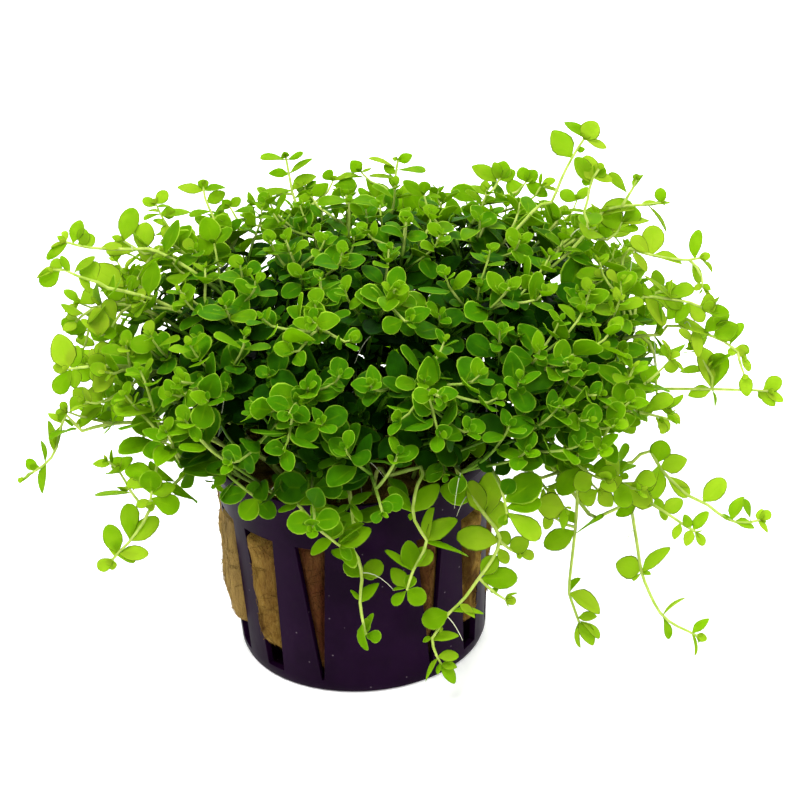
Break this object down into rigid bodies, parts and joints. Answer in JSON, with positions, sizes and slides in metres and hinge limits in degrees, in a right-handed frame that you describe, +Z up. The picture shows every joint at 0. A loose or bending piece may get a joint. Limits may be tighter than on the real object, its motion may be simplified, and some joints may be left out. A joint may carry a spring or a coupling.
{
  "type": "potted pearlweed",
  "caption": "Pearlweed growing from a mineral wool plug in a slotted plastic net pot: a loose mound of thin stems with small round leaf pairs, some trailing over the rim.",
  "frame": {"origin": "centre of the pot's flat base, on the surface it stands on", "axes": "+Z up along the pot's axis, -Y towards the pictured front, +X towards the side where the shoots trail furthest"},
  "size_m": [0.1487, 0.1093, 0.1004],
  "materials": {
    "pot": "dark plum moulded plastic, smooth and slightly glossy, with fine pale dust and scuffs",
    "wool": "golden-brown mineral wool, fibrous and matt, darker in its folds",
    "leaf": "fresh green leaf with a thin pale margin and midrib, soft, slightly glossy, lets light through"
  },
  "bodies": {
    "root": {"pot": "pot", "wool_plug": "wool", "shoot_01": "leaf", "shoot_02": "leaf", "shoot_03": "leaf", "shoot_04": "leaf", "shoot_05": "leaf", "shoot_06": "leaf", "shoot_07": "leaf", "shoot_08": "leaf", "shoot_09": "leaf", "shoot_10": "leaf", "shoot_11": "leaf", "shoot_12": "leaf", "shoot_13": "leaf", "shoot_14": "leaf", "shoot_15": "leaf", "shoot_16": "leaf", "shoot_17": "leaf", "shoot_18": "leaf", "shoot_19": "leaf", "shoot_20": "leaf", "shoot_21": "leaf", "shoot_22": "leaf", "shoot_23": "leaf", "shoot_24": "leaf", "shoot_25": "leaf", "shoot_26": "leaf", "shoot_27": "leaf", "shoot_28": "leaf", "shoot_29": "leaf", "shoot_30": "leaf", "shoot_31": "leaf", "shoot_32": "leaf", "shoot_33": "leaf", "shoot_34": "leaf", "shoot_35": "leaf", "shoot_36": "leaf", "shoot_37": "leaf", "shoot_38": "leaf", "shoot_39": "leaf", "shoot_40": "leaf", "shoot_41": "leaf", "shoot_42": "leaf", "shoot_43": "leaf", "shoot_44": "leaf", "shoot_45": "leaf", "shoot_46": "leaf", "shoot_47": "leaf", "shoot_48": "leaf", "shoot_49": "leaf", "shoot_50": "leaf", "shoot_51": "leaf", "shoot_52": "leaf", "shoot_53": "leaf", "shoot_54": "leaf", "shoot_55": "leaf", "shoot_56": "leaf", "shoot_57": "leaf", "shoot_58": "leaf"}
  },
  "joints": []
}
